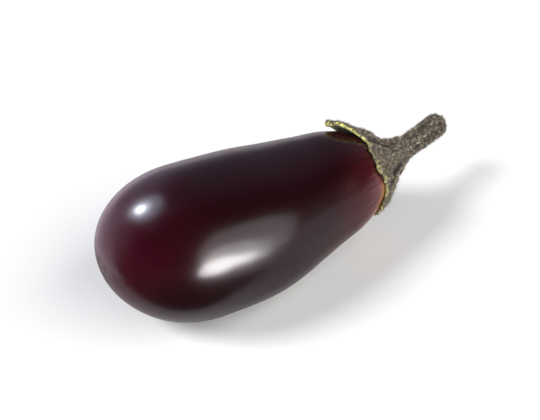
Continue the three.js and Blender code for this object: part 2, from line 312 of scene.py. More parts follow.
def skin_section(from_pole):
    """The outline's point, tangent and outward normal, at a distance along the skin from the pole."""
    walked = OUTLINE_LENGTH - np.asarray(from_pole, float)
    point = [np.interp(walked, WALKED, OUTLINE[:, axis]) for axis in (0, 1)]
    tangent = [np.interp(walked, WALKED, TANGENTS[:, axis]) for axis in (0, 1)]
    return point, tangent, (-tangent[1], tangent[0])


def scar_depth(radius):
    return (DIMPLE_DEPTH * np.exp(-((radius / DIMPLE_RADIUS) ** 2))
            - SPOT_HEIGHT * np.exp(-((radius / SPOT_RADIUS) ** 2)))


def fruit():
    turn = np.arange(FRUIT_AROUND) * 2 * math.pi / FRUIT_AROUND
    # The rings crowd towards both ends, where the outline curves most.
    share = np.arange(1, FRUIT_RINGS) / FRUIT_RINGS
    walked = OUTLINE_LENGTH * lerp(share, smooth_step(share), RING_CROWDING)
    (forward, radius), _, _ = skin_section(OUTLINE_LENGTH - walked)
    forward = forward + np.where(forward < BULB_AT, scar_depth(radius), 0)
    rings = section_point(forward[:, None], radius[:, None], turn)
    # The waves die out towards both ends.
    wave = relief(rings, SKIN_WAVES) * smooth_step(2 * radius / BULB_RADIUS)[:, None]
    rings = section_point(forward[:, None], radius[:, None] + wave, turn)
    rings[..., 2] = np.maximum(rings[..., 2], 0)
    first = section_point(scar_depth(0), 0, 0)
    last = section_point(FRUIT_LENGTH, 0, 0)
    points, faces = closed_rings(rings, first, last)
    from_pole = np.concatenate([[OUTLINE_LENGTH], np.repeat(OUTLINE_LENGTH - walked, FRUIT_AROUND), [0]])
    turns = np.concatenate([[0], np.tile(turn, FRUIT_RINGS - 1), [0]])
    made = piece("eggplant_fruit", points, faces, skin_material(), replaces="fruit")
    numbers(made, "beyond_calyx", from_pole - lobe_at(turns)["reach"])
    numbers(made, "from_scar", OUTLINE_LENGTH - from_pole)
    vectors(made, "skin_place", np.stack([np.cos(turns), np.sin(turns), from_pole / BULB_RADIUS], axis=-1))


# The calyx.

def lobe_at(turn):
    """The lobe that each turn falls in: how far out the calyx reaches there, how near the turn is to the
    lobe's middle, from 0 in a notch to 1, how much the lobe lifts there, and how far its tip reaches."""
    turn = np.asarray(turn, float)
    # In a notch nothing lifts, so the tip only has to lie past the notch.
    found = {
        "reach": np.full(turn.shape, float(NOTCH_REACH)),
        "nearness": np.zeros(turn.shape),
        "lift": np.zeros(turn.shape),
        "tip": np.full(turn.shape, NOTCH_REACH + 1.0),
    }
    for lobe in LOBES:
        off = ((np.degrees(turn) - lobe["turn"] + 180) % 360 - 180) / lobe["half_width"]
        nearness = np.maximum(1 - np.abs(off), 0)
        outline = nearness * (1 + LOBE_SWELL * (1 - nearness))
        reach = NOTCH_REACH + (lobe["reach"] - NOTCH_REACH) * outline
        further = reach > found["reach"]
        lift = lobe["lift"] * (1 + LIFT_SKEW * off)
        here = {"reach": reach, "nearness": nearness, "lift": lift, "tip": lobe["reach"]}
        for key, value in here.items():
            found[key] = np.where(further, value, found[key])
    wave = EDGE_WAVE * np.sin(EDGE_WAVES_ROUND * turn + 1)
    nick = EDGE_NICK * np.sin(EDGE_NICKS_ROUND * turn)
    found["reach"] = found["reach"] + wave + nick
    return found


def ragged_lobe_at(turn):
    """The lobe at each turn, with a ragged edge and blunter tips."""
    lobe = lobe_at(turn)
    round_edge = NOTCH_REACH * np.stack([np.cos(turn), np.sin(turn), np.zeros_like(turn)], axis=-1)
    blunted = TIP_BLUNTED * np.exp(-(((1 - lobe["nearness"]) / TIP_SPAN) ** 2))
    lobe["reach"] = lobe["reach"] + RAGGED_EDGE * lumps(round_edge, RAGGED_SIZE) - blunted
    return lobe


def lifted_share(lobe):
    """From 0 for a lobe that lies flat to 1 for one that lifts by FULL_LIFT or more."""
    return smooth_step(lobe["lift"] / FULL_LIFT)


def lift_at(lobe, from_pole):
    return lobe["lift"] * smooth_step((from_pole - NOTCH_REACH) / (lobe["tip"] - NOTCH_REACH))


def over_skin(from_pole, turn, off):
    """Points of the calyx over the skin, with the directions towards the pole and away from the skin."""
    from_pole, turn, off = np.broadcast_arrays(from_pole, turn, off)
    point, tangent, normal = skin_section(from_pole)
    place = section_point(point[0] + normal[0] * off, point[1] + normal[1] * off, turn)
    poleward = np.stack([tangent[0], tangent[1] * np.cos(turn), tangent[1] * np.sin(turn)], axis=-1)
    away = np.stack([normal[0], normal[1] * np.cos(turn), normal[1] * np.sin(turn)], axis=-1)
    return place, poleward, away


SEAT = section_point(FRUIT_LENGTH + BOSS_RISE, 0, 0) + (0, BOSS_ASIDE, BOSS_UP)
SEAT_FACING = np.array([math.cos(math.radians(STEM_START)), math.sin(math.radians(STEM_START)), 0])


def seat_outward(turn):
    side = np.array([-SEAT_FACING[1], SEAT_FACING[0], 0])
    return np.cos(turn)[..., None] * side + np.sin(turn)[..., None] * np.array([0, 0, 1])


def calyx_inner(share, turn, lobe):
    from_pole = share * lobe["reach"]
    return over_skin(from_pole, turn, CALYX_GAP + lift_at(lobe, from_pole))[0]


def boss_side(share, turn):
    """Down the boss's side, from the edge of its flat top to its toe."""
    edge = SEAT + BOSS_RADIUS * seat_outward(turn)
    toe, poleward, away = over_skin(BOSS_TOE, turn, CALYX_GAP + TOE_THICKNESS)
    handle = edge - SEAT_FACING * BOSS_RISE / 3 + BOSS_SPREAD * seat_outward(turn)
    controls = (edge, handle, toe + poleward * BOSS_TOE / 2, toe)
    return bezier(controls, share), away


def lobe_back(share, turn, lobe):
    """Out along a lobe from the toe to the rim."""
    from_pole = lerp(BOSS_TOE, lobe["reach"], share)
    thickness = lerp(TOE_THICKNESS, RIM_THICKNESS, share)
    place, _, away = over_skin(from_pole, turn, CALYX_GAP + lift_at(lobe, from_pole) + thickness)
    return place, away


def calyx_outer(share, turn, lobe):
    """The outer face: share 0 is the edge of the flat top, 0.5 the toe and 1 the rim. Also how high it
    stands there over a plain face, and which way is out."""
    share, turn = np.broadcast_arrays(share, turn)
    side, side_away = boss_side(np.minimum(share * 2, 1), turn)
    back, back_away = lobe_back(np.maximum(share * 2 - 1, 0), turn, lobe)
    on_boss = (share < 0.5)[..., None]
    place = np.where(on_boss, side, back)
    away = np.where(on_boss, side_away, back_away)
    ridge = RIDGE_HEIGHT * (lobe["nearness"] ** 2 - VALLEY_SHARE)
    lump = LUMP_ON_CALYX * np.sin(LUMPS_ROUND_CALYX * turn + LUMP_SHIFT * share)
    rise = (ridge + lump) * np.sin(math.pi * share)
    return place + away * rise[..., None], rise, away


def tip_roll(share, turn, lobe):
    """How far the underside bulges down where a lifted tip rolls under."""
    from_pole = share * lobe["reach"]
    by_rim = np.exp(-(((lobe["reach"] - from_pole) / ROLL_WIDTH) ** 2))
    by_tip = smooth_step(1 - (1 - lobe["nearness"]) / ROLL_SPAN)
    depth = TIP_ROLL * lifted_share(lobe) * by_rim * by_tip
    return over_skin(from_pole, turn, 0)[2] * depth[..., None]


def felted(place, away, share, lobe):
    """The outer face with woolly lumps, furrows that run out along each lobe, and creases between lobes."""
    furrow = FURROW_HEIGHT * np.cos(math.pi * FURROWS * lobe["nearness"]) * np.sin(math.pi * share)
    crease = CREASE_DEPTH * np.exp(-((lobe["nearness"] / CREASE_SPAN) ** 2)) * np.sin(math.pi * share)
    bump = relief(place, FELT, FELT_SEED) + furrow - crease
    return place + away * bump[..., None], bump


def calyx():
    turn = np.arange(CALYX_AROUND) * 2 * math.pi / CALYX_AROUND
    lobe = ragged_lobe_at(turn)
    inner_share = np.arange(1, CALYX_INNER_RINGS + 1)[:, None] / CALYX_INNER_RINGS
    inner = calyx_inner(inner_share, turn, lobe) - tip_roll(inner_share, turn, lobe)
    outer_share = np.arange(CALYX_OUTER_RINGS, -1, -1)[:, None] / CALYX_OUTER_RINGS
    plain, rise, away = calyx_outer(outer_share, turn, lobe)
    outer, bump = felted(plain, away, outer_share, lobe)
    _, poleward, _ = over_skin(lobe["reach"], turn, CALYX_GAP)
    across = np.arange(1, CALYX_RIM_RINGS + 1)[:, None, None] / (CALYX_RIM_RINGS + 1)
    rim = lerp(inner[-1], outer[0], across) - poleward * RIM_BULGE * np.sin(math.pi * across)
    rings = np.concatenate([inner, rim, outer])
    first = over_skin(0, 0, CALYX_GAP)[0]
    points, faces = closed_rings(rings, first, SEAT)

    with_spikes, all_faces = with_prickles(points, faces, calyx_prickles())
    made = piece("eggplant_calyx", with_spikes, all_faces, calyx_material(), replaces="calyx")
    numbers(made, "green", calyx_green(inner_share, outer_share, lobe))
    hidden = (CALYX_INNER_RINGS + CALYX_RIM_RINGS) * CALYX_AROUND
    height_shown = rise + bump
    numbers(made, "rise", np.concatenate([[0], np.zeros(hidden), height_shown.ravel(), [0]]))
    mark_prickles(made, len(points))
    density = lerp(CREASE_HAIRS, 1, smooth_step((height_shown + BARE_BELOW) / BARE_BELOW))
    hairs("eggplant_calyx_hairs", outer, away, density, CALYX_HAIRS, CALYX_HAIR_SEED)


def calyx_green(inner_share, outer_share, lobe):
    """How yellow-green each point of the calyx is: its underside, its rim, and its outer face by the rim. The
    underside's strong green is partly painted light.
    """
    on_rim = lerp(RIM_GREEN, 1, lifted_share(lobe))
    inside_rim = (1 - inner_share) * lobe["reach"]
    # The strong green on the underside is partly painted light.
    under = UNDERSIDE_GREEN_AND_PAINTED_LIGHT * np.exp(-((inside_rim / GREEN_UNDER_EDGE) ** 2))
    under[-1] = on_rim
    to_rim = (2 - 2 * outer_share) * (lobe["reach"] - BOSS_TOE)
    over = np.exp(-((to_rim / GREEN_EDGE) ** 2)) * on_rim
    return np.concatenate([[1], under.ravel(), np.tile(on_rim, CALYX_RIM_RINGS), over.ravel(), [0]])


def calyx_prickles():
    random = seeded_random(CALYX_PRICKLE_SEED)
    made = []
    for i in range(CALYX_PRICKLES):
        turn = np.array((i + CALYX_PRICKLE_STRAY * next(random)) / CALYX_PRICKLES * 2 * math.pi)
        share = CALYX_PRICKLES_FROM + CALYX_PRICKLES_OVER * next(random)
        lobe = lobe_at(turn)
        foot = calyx_outer(share, turn, lobe)[0]
        outward = unit(foot - calyx_inner(share, turn, lobe))
        a_little_on = share + 0.02
        towards_tip = unit(calyx_outer(a_little_on, turn, lobe)[0] - foot)
        made.append((foot, unit(outward + PRICKLE_LEAN * towards_tip), prickle_length(random)))
    return made


# The stem.

def stem_axis():
    """The three controls of the stem's axis. It leaves the boss square to its top and bends to the side."""
    foot = SEAT + SEAT_FACING * SEAT_GAP
    bend = math.radians(STEM_BEND)
    tip = foot + (STEM_LENGTH * math.cos(bend), STEM_LENGTH * math.sin(bend), STEM_DIP)
    return foot, foot + SEAT_FACING * STEM_LENGTH * STEM_KNEE, tip


def beside_stem(forward, radius, turn):
    """Points beside the stem's axis, with the outward direction and the axis's own direction there."""
    forward, radius, turn = np.broadcast_arrays(forward, radius, turn)
    foot, knee, tip = stem_axis()
    t = (forward / STEM_LENGTH)[..., None]
    middle = foot * (1 - t) ** 2 + 2 * knee * t * (1 - t) + tip * t * t
    tangent = unit((knee - foot) * (1 - t) + (tip - knee) * t)
    up = unit(np.array([0, 0, 1]) - tangent * tangent[..., 2:])
    across = np.cross(up, tangent)
    outward = across * np.cos(turn)[..., None] + up * np.sin(turn)[..., None]
    return middle + outward * radius[..., None], outward, tangent


def stem_outline():
    """The stem's profile as (distance along it, radius), from its sunk foot to the middle of its cut end."""
    foot = np.linspace(-STEM_SUNK, STEM_FOOT, STEM_FOOT_STEPS)
    flare = (BOSS_RADIUS - SEAT_GAP / 2 - STEM_RADIUS) * (1 - np.clip(foot / STEM_FOOT, 0, 1)) ** 2
    shaft = np.linspace(STEM_FOOT, STEM_LENGTH - END_ROUNDING, STEM_SHAFT_STEPS)[1:]
    grown = smooth_step((shaft - STEM_FOOT) / (STEM_LENGTH - END_ROUNDING - STEM_FOOT))
    angle = np.radians(np.linspace(0, 90, STEM_ROUNDING_STEPS)[1:])
    flat = np.linspace(1, 0, STEM_CUT_STEPS)[1:-1]
    end_radius = STEM_END_RADIUS - END_ROUNDING
    forward = np.concatenate([
        foot, shaft, STEM_LENGTH - END_ROUNDING + END_ROUNDING * np.sin(angle),
        STEM_LENGTH - END_HOLLOW * (1 - flat),
    ])
    radius = np.concatenate([
        STEM_RADIUS + flare, lerp(STEM_RADIUS, STEM_END_RADIUS, grown),
        STEM_END_RADIUS - END_ROUNDING * (1 - np.cos(angle)), end_radius * flat,
    ])
    return forward, radius


def stem_relief(forward, turn):
    """Ribs run along the stem with a slow twist, and low lumps break them up; both fade at its foot."""
    ribs = RIB_HEIGHT * np.cos(RIB_COUNT * turn + RIB_TWIST * forward)
    across = np.sin(LUMPS_ROUND_STEM * turn + LUMP_LEAN * forward)
    along = np.sin(LUMP_SPACING * forward - LUMP_TWIST * turn)
    low = LUMP_HEIGHT * across * along
    return smooth_step(forward / STEM_FOOT) * (ribs + low)


def stem():
    turn = np.arange(STEM_AROUND) * 2 * math.pi / STEM_AROUND
    forward, radius = (values[:, None] for values in stem_outline())
    plain, outward, tangent = beside_stem(forward, radius, turn)
    # The relief dies out towards the middle of the cut end.
    from_middle = np.minimum(radius / STEM_RADIUS, 1)
    bark = relief(plain, BARK, BARK_SEED)
    rise = stem_relief(forward, turn) + bark
    rings = plain + outward * (rise * from_middle)[..., None]
    first = beside_stem(-STEM_SUNK, 0, 0)[0]
    last = beside_stem(STEM_LENGTH - END_HOLLOW, 0, 0)[0]
    points, faces = closed_rings(rings, first, last)
    cut = np.broadcast_to(1 - radius / STEM_END_RADIUS, rise.shape) * (forward > STEM_LENGTH / 2)
    with_spikes, all_faces = with_prickles(points, faces, stem_prickles())
    made = piece("eggplant_stem", with_spikes, all_faces, stem_material(), replaces="stem")
    numbers(made, "rise", np.concatenate([[0], rise.ravel(), [0]]))
    numbers(made, "cut", np.concatenate([[0], cut.ravel(), [1]]))
    mark_prickles(made, len(points))
    hairy = (forward[:, 0] > STEM_HAIRS_FROM) & (radius[:, 0] > STEM_END_RADIUS / 3)
    lean = unit(outward + HAIR_LEAN * tangent)[hairy]
    even = np.ones(lean.shape[:2])
    hairs("eggplant_stem_hairs", rings[hairy], lean, even, STEM_HAIRS, STEM_HAIR_SEED)


def stem_prickles():
    random = seeded_random(STEM_PRICKLE_SEED)
    made = []
    for i in range(STEM_PRICKLES):
        turn = np.array((i * STEM_PRICKLE_TURN + STEM_PRICKLE_STRAY * next(random)) % (2 * math.pi))
        share = lerp(STEM_PRICKLES_FROM, STEM_PRICKLES_TO, (i + next(random)) / STEM_PRICKLES)
        foot, outward, tangent = beside_stem(share * STEM_LENGTH, STEM_RADIUS, turn)
        made.append((foot, unit(outward + PRICKLE_LEAN * tangent), prickle_length(random)))
    return made


def prickle_length(random):
    return PRICKLE_LENGTH * (PRICKLE_SHORTEST + PRICKLE_VARIES * next(random))


# Meshes and pieces.

def closed_rings(rings, first, last):
    """Points and faces of a body whose rings of points run between two end points."""
    count, around, _ = rings.shape
    points = np.vstack([first, rings.reshape(-1, 3), last])
    column = np.arange(around)
    following = (column + 1) % around
    row = 1 + around * np.arange(count - 1)[:, None]
    below = row + around
    quads = np.stack([row + column, row + following, below + following, below + column], axis=-1)
    end = len(points) - 1
    last_row = 1 + around * (count - 1)
    faces = quads.reshape(-1, 4).tolist()
    faces += [(0, 1 + b, 1 + a) for a, b in zip(column.tolist(), following.tolist())]
    faces += [(end, last_row + a, last_row + b) for a, b in zip(column.tolist(), following.tolist())]
    return points, faces


def spikes(feet, directions, lengths, radii, roots, sides):
    """Points and faces of closed cones, each with a flat foot sunk by its root and a sharp tip."""
    steep = np.abs(directions[:, 2:]) >= 0.9
    helper = np.where(steep, (1, 0, 0), (0, 0, 1))
    across = unit(np.cross(directions, helper))
    beside = np.cross(directions, across)
    angle = np.arange(sides) * 2 * math.pi / sides
    ring = np.cos(angle)[:, None] * across[:, None] + np.sin(angle)[:, None] * beside[:, None]
    bases = (feet - directions * roots)[:, None] + ring * radii
    tips = feet + directions * lengths[:, None]
    points = np.concatenate([bases, tips[:, None]], axis=1)
    start = (np.arange(len(feet)) * (sides + 1))[:, None]
    faces = []
    for side in range(sides):
        corners = start + np.array([side, (side + 1) % sides, sides])
        faces += corners.tolist()
    faces += (start + np.arange(sides)[::-1]).tolist()
    return points.reshape(-1, 3), faces


def with_prickles(points, faces, prickles):
    feet, directions, lengths = (np.array(values) for values in zip(*prickles))
    more_points, more_faces = spikes(feet, directions, lengths, PRICKLE_RADIUS, PRICKLE_ROOT, PRICKLE_SIDES)
    shifted = [tuple(corner + len(points) for corner in face) for face in more_faces]
    return np.vstack([points, more_points]), faces + shifted


def hairs(name, surface, outward, density, count, seed):
    """Short tapered hairs over a surface given as rings of points with outward directions and densities."""
    random = np.random.default_rng(seed)
    steps = np.linalg.norm(np.diff(surface, axis=0), axis=-1)
    widths = np.linalg.norm(np.roll(surface, -1, axis=1) - surface, axis=-1)[:-1]
    area = (steps * widths * density[:-1]).ravel()
    cell = random.choice(len(area), count, p=area / area.sum())
    row, column = np.divmod(cell, surface.shape[1])
    after = (column + 1) % surface.shape[1]
    down, side = random.random((2, count, 1))
    feet = lerp(lerp(surface[row, column], surface[row + 1, column], down),
                lerp(surface[row, after], surface[row + 1, after], down), side)
    directions = unit(outward[row, column] + HAIR_SPREAD * random.normal(size=(count, 3)))
    facing = (directions * outward[row, column]).sum(axis=1)
    short_of = np.maximum(HAIR_LEAST_OUTWARD - facing, 0)
    directions = unit(directions + outward[row, column] * short_of[:, None])
    # Cubed, so that most hairs are short and a few are long.
    lengths = HAIR_LENGTH * lerp(HAIR_SHORTEST, 1, random.random(count) ** 3)
    points, faces = spikes(feet, directions, lengths, HAIR_RADIUS, HAIR_ROOT, HAIR_SIDES)
    piece(name, points, faces, hair_material())


def piece(name, points, faces, material, replaces=None):
    mesh = bpy.data.meshes.new(name)
    mesh.from_pydata((points / METRE).tolist(), [], faces)
    mesh.shade_smooth()
    mesh.materials.append(material)
    made = bpy.data.objects.new(name, mesh)
    bpy.context.scene.collection.objects.link(made)
    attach(made, "root")
    if replaces:
        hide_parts(replaces)
    return made


def numbers(made, name, values):
    """Gives each point a number. Points past the last value are a prickle's, and get 0."""
    padded = np.zeros(len(made.data.vertices), np.float32)
    padded[:len(values)] = values
    layer = made.data.attributes.new(name, "FLOAT", "POINT")
    layer.data.foreach_set("value", padded)


def mark_prickles(made, body_points):
    numbers(made, "prickle", np.arange(len(made.data.vertices)) >= body_points)


def vectors(made, name, values):
    layer = made.data.attributes.new(name, "FLOAT_VECTOR", "POINT")
    layer.data.foreach_set("vector", np.asarray(values, np.float32).ravel())


# Materials.

class Nodes:
    """Adds nodes to a tree. Each call returns the new node's output."""

    def __init__(self, tree):
        self.tree = tree
        self.tree.nodes.clear()

    def add(self, kind, inputs, output=0, **settings):
        made = self.tree.nodes.new(kind)
        for name, value in settings.items():
            setattr(made, name, value)
        for name, value in inputs.items():
            if isinstance(value, bpy.types.NodeSocket):
                self.tree.links.new(value, made.inputs[name])
            else:
                made.inputs[name].default_value = value
        return made.outputs[output]

    def attribute(self, name, output="Fac"):
        return self.add("ShaderNodeAttribute", {}, output, attribute_name=name)

    def math(self, operation, a, b):
        return self.add("ShaderNodeMath", {0: a, 1: b}, operation=operation)

    def stretch(self, vector, factors):
        return self.add("ShaderNodeVectorMath", {0: vector, 1: factors}, operation="MULTIPLY")

    def noise(self, vector, scale, detail=2.0, roughness=0.5):
        inputs = {"Vector": vector, "Scale": scale, "Detail": detail, "Roughness": roughness}
        return self.add("ShaderNodeTexNoise", inputs)

    def between(self, value, low, high, start=0.0, end=1.0):
        """start up to low, end from high, and a smooth rise between."""
        inputs = {"Value": value, "From Min": low, "From Max": high, "To Min": start, "To Max": end}
        return self.add("ShaderNodeMapRange", inputs, interpolation_type="SMOOTHSTEP")

    def facing(self, vector, direction):
        """How far a vector points in a direction, from -1 to 1."""
        inputs = {0: vector, 1: direction}
        return self.add("ShaderNodeVectorMath", inputs, "Value", operation="DOT_PRODUCT")

    def mix(self, factor, a, b):
        inputs = {0: factor, 6: rgba(a), 7: rgba(b)}
        return self.add("ShaderNodeMix", inputs, 2, data_type="RGBA")

    def position(self):
        return self.add("ShaderNodeTexCoord", {}, "Object")


def rgba(colour):
    return colour if isinstance(colour, bpy.types.NodeSocket) else (*colour, 1.0)


def new_material(name):
    material = bpy.data.materials.new(name)
    material.use_nodes = True
    return material, Nodes(material.node_tree)


def surface(nodes, constants, linked):
    shader = nodes.add("ShaderNodeBsdfPrincipled", {**constants, **linked})
    output = nodes.tree.nodes.new("ShaderNodeOutputMaterial")
    nodes.tree.links.new(shader, output.inputs["Surface"])


# Colours. Each dark and light pair is mixed by noise.
SKIN_DEEP = (0.0088, 0.0002, 0.0013)
SKIN_CRIMSON = (0.038, 0.0005, 0.0066)
SKIN_MAROON = (0.046, 0.0032, 0.0050)
SKIN_PINK = (0.135, 0.037, 0.036)
SKIN_PALE = (0.45, 0.20, 0.075)
SCAR_BROWN = (0.030, 0.004, 0.007)
FELT_PAIR = [(0.040, 0.028, 0.020), (0.105, 0.080, 0.052)]
FELT_SPECK = (0.56, 0.49, 0.34)
# Painted shade for the calyx's creases, valleys and hollows.
FELT_PAINTED_SHADE = (0.015, 0.011, 0.008)
GREEN_PAIR = [(0.38, 0.36, 0.08), (0.82, 0.80, 0.28)]
BARK_PAIR = [(0.042, 0.030, 0.023), (0.100, 0.078, 0.058)]
BARK_SPECK = (0.52, 0.46, 0.35)
# Painted shade for the hollows in the stem's bark.
BARK_PAINTED_SHADE = (0.022, 0.017, 0.013)
WOOD_PAIR = [(0.10, 0.08, 0.055), (0.20, 0.165, 0.115)]
HAIR_PAIR = [(0.072, 0.054, 0.040), (0.42, 0.37, 0.29)]
PRICKLE_COLOUR = (0.62, 0.56, 0.32)

# Noise scales, in lumps per metre, or round and along the fruit for the streaks.
CLOUDS = 34.0
FINE_STREAKS = (85, 85, 1.8)
BROAD_STREAKS = (14, 14, 0.9)
SCAR_EDGE = 420.0
WAX_PATCHES = 90.0
WAX_GRAIN = 700.0
FELT_PATCHES = 240.0
BARK_PATCHES = 260.0
SPECKS = 850.0
RIM_NICKS = 520.0
HAIR_TINTS = 500.0

# Where the skin changes colour, in millimetres from the scar or past the calyx's edge.
CRIMSON_TO_DEEP = (16, 84)
SHADE_STARTS = (12, 50)
MAROON_TO_DEEP = (8, 62)
PINK_TO_MAROON = (-2, 24)
PALE_TO_PINK = (0, 11)
SCAR_TO_SKIN = (1.4, 3.4)
# One side of the fruit, the lower side towards -Y, is darkened by painted shade, as little light reaches it
# there. The pale zone by the calyx shows there, and draws back under the calyx on the other side.
PAINTED_SHADE_SIDE = (-0.75, -0.66, 0)
PALE_ZONE_SHIFT = 44


def skin_material():
    """Glossy wax over a purple so deep that it is nearly black, crimson at the blossom end, pale and
    streaked where the calyx kept the light away, and with painted shade on its lower side."""
    material, nodes = new_material("skin")
    place = nodes.attribute("skin_place", "Vector")
    beyond = nodes.attribute("beyond_calyx")
    from_scar = nodes.attribute("from_scar")
    cloud = nodes.noise(nodes.position(), CLOUDS, 3.0)
    deep = nodes.mix(nodes.between(from_scar, *CRIMSON_TO_DEEP), SKIN_CRIMSON, SKIN_DEEP)
    deep = nodes.mix(nodes.between(cloud, 0.3, 0.75, 0.0, 0.5), deep, SKIN_DEEP)
    # Painted shade: the lower side towards -Y is darkened towards the deep purple, away from the blossom end.
    side = nodes.facing(place, PAINTED_SHADE_SIDE)
    off_pole = nodes.between(from_scar, *SHADE_STARTS)
    painted_shade = nodes.math("MULTIPLY", nodes.between(side, 0.2, 0.85, 0.0, 0.8), off_pole)
    deep = nodes.mix(painted_shade, deep, SKIN_DEEP)
    # Fine streaks run lengthwise out of the calyx and break up the pale zone.
    fine = nodes.noise(nodes.stretch(place, FINE_STREAKS), 1.0, 4.0, 0.65)
    broad = nodes.noise(nodes.stretch(place, BROAD_STREAKS), 1.0, 2.0)
    streak = nodes.math("ADD", nodes.between(fine, 0.3, 0.7, -6, 6), nodes.between(broad, 0.3, 0.7, -5, 5))
    shift = nodes.between(side, -0.9, 0.95, PALE_ZONE_SHIFT, 0)
    away = nodes.math("ADD", nodes.math("ADD", beyond, streak), shift)
    near = nodes.math("ADD", nodes.math("ADD", beyond, nodes.math("MULTIPLY", streak, 0.25)), shift)
    colour = nodes.mix(nodes.between(away, *MAROON_TO_DEEP), SKIN_MAROON, deep)
    colour = nodes.mix(nodes.between(away, *PINK_TO_MAROON), SKIN_PINK, colour)
    colour = nodes.mix(nodes.between(near, *PALE_TO_PINK), SKIN_PALE, colour)
    ragged = nodes.between(nodes.noise(nodes.position(), SCAR_EDGE), 0.3, 0.7, -0.8, 0.8)
    colour = nodes.mix(nodes.between(nodes.math("ADD", from_scar, ragged), *SCAR_TO_SKIN), SCAR_BROWN, colour)
    rough = nodes.between(nodes.noise(nodes.position(), WAX_PATCHES, 3.0), 0.3, 0.7, 0.29, 0.34)
    grain = nodes.noise(nodes.position(), WAX_GRAIN, 2.0)
    bump = nodes.add("ShaderNodeBump", {"Strength": 0.05, "Distance": 0.00004, "Height": grain})
    surface(nodes, {
        "IOR": 1.45,
        "Specular IOR Level": 0.04,
        "Coat Weight": 1.0,
        "Coat Roughness": 0.23,
        "Coat IOR": 1.46,
    }, {"Base Color": colour, "Roughness": rough, "Normal": bump})
    return material


MATT = {"Specular IOR Level": 0.2, "Sheen Weight": 0.15, "Sheen Roughness": 0.5}


def calyx_material():
    """Felted brown-grey green, yellow-green where an edge or the underside shows, the underside partly with
    painted light, and with painted shade in the creases and hollows.
    """
    material, nodes = new_material("calyx")
    place = nodes.position()
    green = nodes.attribute("green")
    rise = nodes.attribute("rise")
    speck = nodes.noise(place, SPECKS, 3.0, 0.7)
    patch = nodes.noise(place, FELT_PATCHES, 3.0)
    colour = nodes.mix(nodes.between(patch, 0.35, 0.65), *FELT_PAIR)
    colour = nodes.mix(nodes.between(speck, 0.57, 0.62), colour, FELT_SPECK)
    # Painted shade: the felt darkens where its surface lies low, in the creases, the valleys between lobes
    # and the hollows of the felt.
    colour = nodes.mix(nodes.between(rise, -1.15, 0.25), FELT_PAINTED_SHADE, colour)
    edge = nodes.mix(nodes.between(speck, 0.4, 0.62), *GREEN_PAIR)
    # Two noises break the green edge up, so that felt shows between.
    amount = nodes.math("MULTIPLY", green, nodes.between(patch, 0.44, 0.56, 0.1, 1.0))
    nick = nodes.noise(place, RIM_NICKS, 2.0)
    amount = nodes.math("MULTIPLY", amount, nodes.between(nick, 0.38, 0.52, 0.2, 1.0))
    colour = nodes.mix(amount, colour, edge)
    colour = nodes.mix(nodes.attribute("prickle"), colour, PRICKLE_COLOUR)
    bump = nodes.add("ShaderNodeBump", {"Strength": 0.6, "Distance": 0.0003, "Height": speck})
    rough = nodes.between(patch, 0.3, 0.7, 0.8, 0.95)
    surface(nodes, MATT, {"Base Color": colour, "Roughness": rough, "Normal": bump})
    return material


def stem_material():
    """Rough brown-grey bark with pale specks, painted shade in its hollows, and drier wood in the cut end."""
    material, nodes = new_material("stem")
    place = nodes.position()
    rise = nodes.attribute("rise")
    cut = nodes.attribute("cut")
    speck = nodes.noise(place, SPECKS, 3.0, 0.7)
    patch = nodes.noise(place, BARK_PATCHES, 3.0)
    colour = nodes.mix(nodes.between(patch, 0.35, 0.65), *BARK_PAIR)
    colour = nodes.mix(nodes.between(speck, 0.58, 0.63), colour, BARK_SPECK)
    # Painted shade: the bark darkens where its surface lies low, between the ribs and lumps.
    colour = nodes.mix(nodes.between(rise, -0.6, 0.25), BARK_PAINTED_SHADE, colour)
    wood = nodes.mix(nodes.between(speck, 0.35, 0.65), *WOOD_PAIR)
    colour = nodes.mix(nodes.between(cut, 0.5, 0.75), colour, wood)
    colour = nodes.mix(nodes.attribute("prickle"), colour, PRICKLE_COLOUR)
    bump = nodes.add("ShaderNodeBump", {"Strength": 0.7, "Distance": 0.0003, "Height": speck})
    rough = nodes.between(patch, 0.3, 0.7, 0.82, 0.96)
    surface(nodes, MATT, {"Base Color": colour, "Roughness": rough, "Normal": bump})
    return material


def hair_material():
    """Dry hairs, some dark and some pale."""
    found = bpy.data.materials.get("hair")
    if found:
        return found
    material, nodes = new_material("hair")
    tint = nodes.noise(nodes.position(), HAIR_TINTS, 1.0)
    colour = nodes.mix(nodes.between(tint, 0.45, 0.62), *HAIR_PAIR)
    surface(nodes, {"Roughness": 0.7, "Specular IOR Level": 0.3}, {"Base Color": colour})
    return material


# The studio.

def towards(azimuth, elevation):
    a = math.radians(azimuth)
    e = math.radians(elevation)
    return Vector((math.sin(a) * math.cos(e), -math.cos(a) * math.cos(e), math.sin(e)))


def camera():
    data = bpy.data.cameras.new("camera")
    data.lens = CAMERA_LENS
    made = bpy.data.objects.new("camera", data)
    bpy.context.scene.collection.objects.link(made)
    back = towards(CAMERA_AZIMUTH, CAMERA_ELEVATION)
    made.location = (Vector(CAMERA_AIM) + back * CAMERA_DISTANCE) / METRE
    made.rotation_euler = (-back).to_track_quat("-Z", "Y").to_euler()
    bpy.context.scene.camera = made


